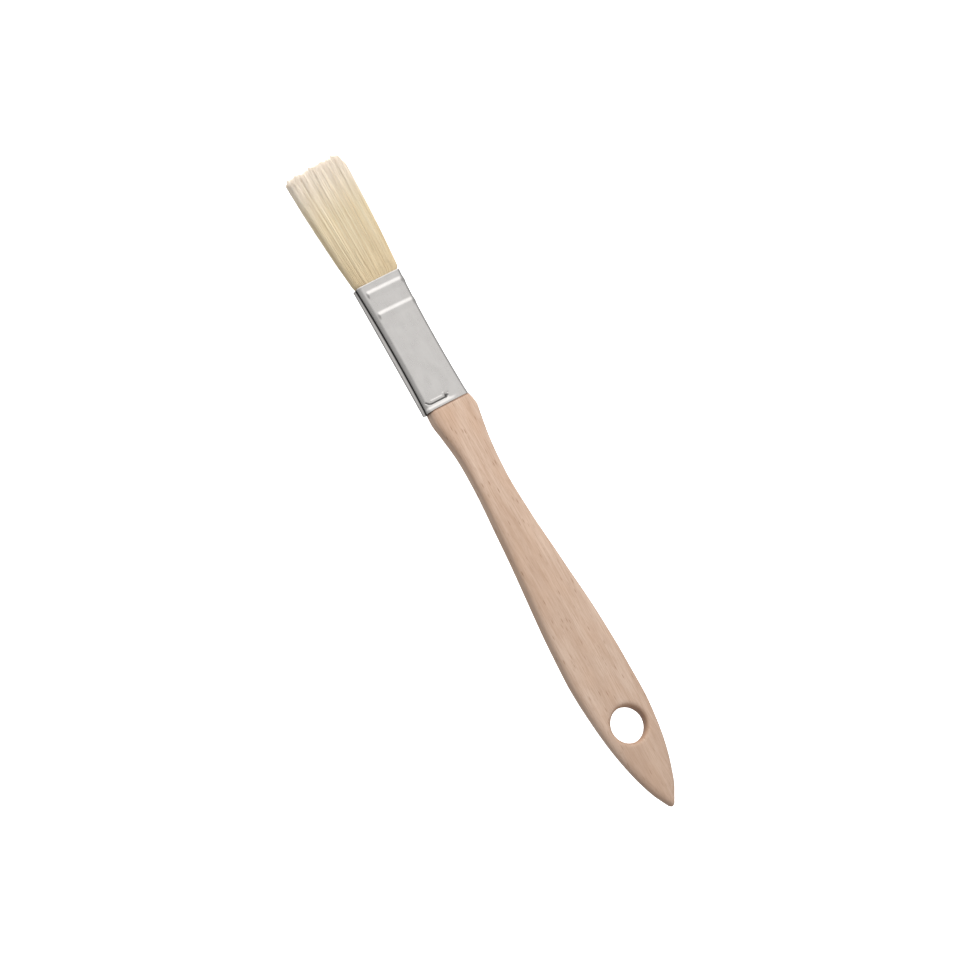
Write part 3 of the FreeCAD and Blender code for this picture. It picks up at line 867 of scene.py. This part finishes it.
def beech_material():
    """Unvarnished beech: fine straight grain, short ray flecks, soft tone bands and darker end grain."""
    s = Shader("beech")
    bands = s.noise((5.0, 60.0, 9.0), detail=3.0, distortion=0.6)
    fibre = s.noise((0.34, 9.0, 0.34), detail=4.0, roughness=0.62)
    fine = s.noise((0.13, 3.2, 0.13), detail=2.0, roughness=0.6)
    blotch = s.noise((6.0, 16.0, 6.0), detail=2.0)

    colour = s.mix(s.ramp(bands, 0.36, 0.64), rgb(193, 165, 144), rgb(214, 190, 171))
    colour = s.mix(s.ramp(blotch, 0.45, 0.72, 0.0, 0.45), colour, rgb(203, 170, 144))
    colour = s.mix(s.ramp(fibre, 0.40, 0.64, 0.0, 0.52), colour, rgb(174, 142, 118))
    colour = s.mix(s.ramp(fine, 0.55, 0.72, 0.0, 0.48), colour, rgb(156, 122, 99))

    # Ray flecks: short dark spindles, one in some of the cells.
    inputs = {"Vector": s.place((0.75, 4.2, 2.0)), "Scale": 1.0, "Randomness": 1.0}
    cells = s.node("ShaderNodeTexVoronoi", inputs)
    chosen = s.node("ShaderNodeSeparateColor", {"Color": cells.outputs["Color"]}).outputs["Red"]
    spindle = s.ramp(cells.outputs["Distance"], 0.10, 0.30, 1.0, 0.0)
    fleck = s.math("MULTIPLY", spindle, s.ramp(chosen, 0.62, 0.80))
    colour = s.mix(s.math("MULTIPLY", fleck, 0.75), colour, rgb(148, 112, 88))

    # The wood is duller towards the tail, where it is held, and painted dark in the joint with the ferrule
    # as the shade that the ferrule's end casts there.
    station = s.node("ShaderNodeSeparateXYZ", {"Vector": s.place((1.0, 1.0, 1.0))}).outputs["Y"]
    colour = s.mix(s.ramp(station, -110.0, 10.0, 0.42, 0.0), colour, rgb(160, 134, 116))
    joint_shade = s.ramp(station, FERRULE_END_Y - 0.6, FERRULE_END_Y - 0.2, 0.0, 0.75)
    colour = s.mix(joint_shade, colour, rgb(92, 66, 56))

    # The drilled hole's rim and wall are painted darker, as painted shade in the hole.
    to_hole = s.node("ShaderNodeVectorMath", {0: s.place((1.0, 1.0, 1000.0))}, operation="DISTANCE")
    to_hole.inputs[1].default_value = (0.0, TAIL_Y + HOLE_AT, 0.0)
    rim = s.ramp(to_hole.outputs["Value"], HOLE_RADIUS, HOLE_RADIUS + 0.9, 0.55, 0.0)
    colour = s.mix(rim, colour, rgb(146, 108, 82))

    # End grain, on what faces along the brush, drinks dirt and looks darker.
    normal = s.node("ShaderNodeNewGeometry").outputs["Normal"]
    along = s.node("ShaderNodeSeparateXYZ", {"Vector": normal}).outputs["Y"]
    end_grain = s.ramp(s.math("ABSOLUTE", along), 0.45, 0.95, 0.0, 0.35)
    colour = s.mix(end_grain, colour, rgb(170, 130, 100))

    height = s.math("ADD", s.math("MULTIPLY", fibre, 0.7), s.math("MULTIPLY", fine, -0.5))
    normal = s.bump(height, 0.05, strength=0.5)
    rough = s.ramp(fibre, 0.3, 0.7, 0.50, 0.62)
    return s.finish(Base_Color=colour, Roughness=rough, Normal=normal, Specular_IOR_Level=0.35)


def tinplate_material():
    """Bright tinplate: soft reflections, rubbing marks along the sheet, and painted shade and a painted dark
    reflection in the seam's gap, on its rib, in the crease and in the stake pit.
    """
    s = Shader("tinplate")
    cloud = s.noise((3.5, 5.0, 3.5), detail=3.0)
    rub = s.noise((0.18, 7.0, 0.18), detail=3.0, roughness=0.6)
    spangle = s.noise((0.8, 0.9, 0.8), detail=2.0)
    colour = s.mix(s.ramp(cloud, 0.35, 0.65), rgb(210, 207, 204), rgb(216, 213, 210))
    colour = s.mix(s.ramp(rub, 0.55, 0.8, 0.0, 0.25), colour, rgb(176, 174, 172))
    # Painted shade and a painted dark reflection: the metal is painted near black where the attribute says.
    shade_paint = s.node("ShaderNodeAttribute", attribute_name="painted_shade_mask").outputs["Fac"]
    shade_paint = s.math("MULTIPLY", shade_paint, s.ramp(s.noise((0.5, 2.5, 0.5), detail=3.0), 0.35, 0.65, 0.97, 1.0))
    colour = s.mix(shade_paint, colour, rgb(34, 33, 32))
    rough = s.math("ADD", s.ramp(cloud, 0.3, 0.7, 0.25, 0.29), s.ramp(spangle, 0.3, 0.7, 0.0, 0.05))
    rough = s.math("MAXIMUM", rough, s.math("MULTIPLY", shade_paint, 0.6))
    normal = s.bump(rub, 0.012, strength=0.35)
    normal = s.bump(spangle, 0.02, strength=0.30, below=normal)
    return s.finish(Base_Color=colour, Roughness=rough, Normal=normal, Metallic=1.0)


def bristle_material():
    """Natural bristle: each filament has its own cream, warmer at the root and paler at its split tip."""
    s = Shader("bristle")
    uv = s.node("ShaderNodeUVMap", uv_map="OFBake").outputs["UV"]
    split = s.node("ShaderNodeSeparateXYZ", {"Vector": uv})
    column = s.math("FLOOR", s.math("MULTIPLY", split.outputs["X"], float(TONES)))
    along = split.outputs["Y"]
    tone = s.node("ShaderNodeTexWhiteNoise", {"W": column}, noise_dimensions="1D")
    parts = s.node("ShaderNodeSeparateColor", {"Color": tone.outputs["Color"]})
    first, second, third = (parts.outputs[name] for name in ("Red", "Green", "Blue"))

    colour = s.mix(first, rgb(232, 216, 184), rgb(246, 236, 210))
    colour = s.mix(s.ramp(second, 0.72, 0.95, 0.0, 0.6), colour, rgb(230, 200, 152))
    colour = s.mix(s.ramp(third, 0.94, 0.97, 0.0, 0.4), colour, rgb(200, 170, 130))
    colour = s.mix(s.ramp(along, 0.50, 0.74, 0.72, 0.0), colour, rgb(206, 184, 146))
    colour = s.mix(s.ramp(along, 0.78, 0.97, 0.0, 0.80), colour, rgb(248, 238, 226))
    return s.finish(Base_Color=colour, Roughness=0.45, Specular_IOR_Level=0.4)


def resin_material():
    """Cured amber resin with cloudy streaks."""
    s = Shader("resin")
    cloud = s.noise((1.6, 1.6, 1.6), detail=3.0)
    colour = s.mix(s.ramp(cloud, 0.35, 0.65), rgb(148, 98, 46), rgb(186, 136, 74))
    normal = s.bump(s.noise((0.5, 0.5, 0.5)), 0.05, strength=0.5)
    return s.finish(Base_Color=colour, Roughness=s.ramp(cloud, 0.3, 0.7, 0.15, 0.35), Normal=normal)


def filler_material():
    """A sawn wood strip: coarse open grain."""
    s = Shader("filler_wood")
    grain = s.noise((0.3, 6.0, 0.3), detail=4.0, roughness=0.65)
    colour = s.mix(s.ramp(grain, 0.35, 0.65), rgb(176, 138, 98), rgb(214, 182, 142))
    normal = s.bump(grain, 0.12, strength=0.8)
    return s.finish(Base_Color=colour, Roughness=0.8, Normal=normal)


def floor_material():
    """A plain pale studio floor with a faint unevenness."""
    s = Shader("floor")
    cloud = s.noise((300.0, 300.0, 300.0), detail=2.0)
    colour = s.mix(cloud, rgb(244, 244, 244), rgb(247, 247, 247))
    return s.finish(
        Base_Color=colour, Roughness=0.9, Specular_IOR_Level=0.1,
        Emission_Color=colour, Emission_Strength=FLOOR_GLOW,
    )


def paint(piece, material):
    """Gives the whole piece one material."""
    piece.data.materials.clear()
    piece.data.materials.append(material)


# ---------------------------------------------------------------- studio

LOOK_LEFT = math.radians(20.0)
LOOK_FROM_TAIL = math.radians(4.5)
PICTURE_LEAN = math.radians(29.4)
AIM = Vector((-2.55, 3.25, 3.7))
FIELD = 307.5
LENS = 135.0
SENSOR = 36.0
# The floor lies this far under the brush, so that it doesn't hide the bristles where they bend downwards.
FLOOR_DROP = 30.0
FLOOR_HALF = 3000.0
FLOOR_GLOW = 0.85
KEY_FROM = (0.25, 0.75, 0.61)
KEY_DISTANCE = 1100.0
KEY_SIZE = (1100.0, 800.0)
KEY_POWER = 8.0


def toward(left, tail):
    """The direction from the brush to a place, as angles to the left of and tailwards from straight up."""
    return Vector((-math.sin(left) * math.cos(tail), -math.sin(tail), math.cos(left) * math.cos(tail)))


def make_camera():
    """A long lens that sees the front, the left side and a little of the tail end of the leaning brush."""
    out = toward(LOOK_LEFT, LOOK_FROM_TAIL)
    brush = Vector((0, 1, 0))
    brush_up = (brush - out * brush.dot(out)).normalized()
    brush_right = brush_up.cross(out)
    up = math.cos(PICTURE_LEAN) * brush_up + math.sin(PICTURE_LEAN) * brush_right
    right = up.cross(out)
    data = bpy.data.cameras.new("camera")
    data.lens = LENS
    data.sensor_width = SENSOR
    data.clip_start = 0.01
    camera = bpy.data.objects.new("camera", data)
    bpy.context.scene.collection.objects.link(camera)
    pose = Matrix((right, up, out)).transposed().to_4x4()
    pose.translation = (AIM + out * FIELD * LENS / SENSOR) * MM
    camera.matrix_world = pose
    bpy.context.scene.camera = camera


def make_floor():
    """A pale floor that sends no light up onto the brush's sides and isn't mirrored in the metal."""
    low, high = -FLOOR_HALF, FLOOR_HALF
    corners = [(x, y, -FLOOR_DROP) for x, y in ((low, low), (high, low), (high, high), (low, high))]
    floor = make_piece("studio_floor", corners, [(0, 1, 2, 3)], smooth=False)
    paint(floor, floor_material())
    floor.visible_diffuse = False
    floor.visible_glossy = False


def make_key_light():
    """A large soft light from beyond the bristles, which the metal doesn't mirror."""
    data = bpy.data.lights.new("key", "AREA")
    data.shape = "RECTANGLE"
    data.size, data.size_y = KEY_SIZE[0] * MM, KEY_SIZE[1] * MM
    data.energy = KEY_POWER
    light = bpy.data.objects.new("key", data)
    bpy.context.scene.collection.objects.link(light)
    direction = Vector(KEY_FROM).normalized()
    light.location = direction * KEY_DISTANCE * MM
    light.rotation_euler = direction.to_track_quat("Z", "Y").to_euler()
    light.visible_glossy = False


def make_surroundings():
    """White surroundings whose brightness depends on the direction."""
    world = bpy.data.worlds.new("surroundings")
    world.use_nodes = True
    tree = world.node_tree
    direction = tree.nodes.new("ShaderNodeTexCoord").outputs["Generated"]
    split = tree.nodes.new("ShaderNodeSeparateXYZ")
    tree.links.new(direction, split.inputs["Vector"])

    def slope(socket, low, high, out_low, out_high):
        """A smooth change of brightness over one direction."""
        node = tree.nodes.new("ShaderNodeMapRange")
        node.interpolation_type = "SMOOTHSTEP"
        tree.links.new(socket, node.inputs["Value"])
        limits = {"From Min": low, "From Max": high, "To Min": out_low, "To Max": out_high}
        for name, value in limits.items():
            node.inputs[name].default_value = value
        return node.outputs["Result"]

    def combine(operation, first, second):
        """The product, sum or greater of two brightnesses."""
        node = tree.nodes.new("ShaderNodeMath")
        node.operation = operation
        tree.links.new(first, node.inputs[0])
        tree.links.new(second, node.inputs[1])
        return node.outputs["Value"]

    # Dimmer on the brush's left than on its right, brightest beyond the bristles, and dim at the far
    # right and underneath.
    left_to_right = slope(split.outputs["X"], -0.8, 0.1, 0.46, 0.88)
    beyond = slope(split.outputs["Y"], 0.2, 0.85, 0.0, 0.8)
    far_right = slope(split.outputs["X"], 0.7, 0.95, 1.0, 0.5)
    above = slope(split.outputs["Z"], -0.6, -0.2, 0.56, 1.0)
    sides = combine("MULTIPLY", left_to_right, far_right)
    light = combine("MULTIPLY", combine("ADD", sides, beyond), above)
    # Where the camera sees past the floor, the backdrop is plain white.
    seen = tree.nodes.new("ShaderNodeLightPath").outputs["Is Camera Ray"]
    tree.links.new(combine("MAXIMUM", light, seen), tree.nodes["Background"].inputs["Strength"])
    tree.nodes["Background"].inputs["Color"].default_value = (1.0, 1.0, 1.0, 1.0)
    bpy.context.scene.world = world


# ---------------------------------------------------------------- assembly

make_camera()
make_floor()
make_key_light()
make_surroundings()
bpy.context.scene.view_settings.view_transform = "Standard"

paint(nodes["filler_strip"], filler_material())
paint(nodes["resin_setting"], resin_material())

handle = make_handle()
paint(handle, beech_material())
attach(handle, HANDLE_BODY)
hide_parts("handle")

ferrule = make_ferrule()
paint(ferrule, tinplate_material())
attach(ferrule, HANDLE_BODY)
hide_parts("ferrule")

bristle = bristle_material()
for bank, replaced in zip(make_bristles(), ("front", "back")):
    paint(bank, bristle)
    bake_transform(bank)
    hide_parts("bristle_root_" + replaced, "bristles_" + replaced)
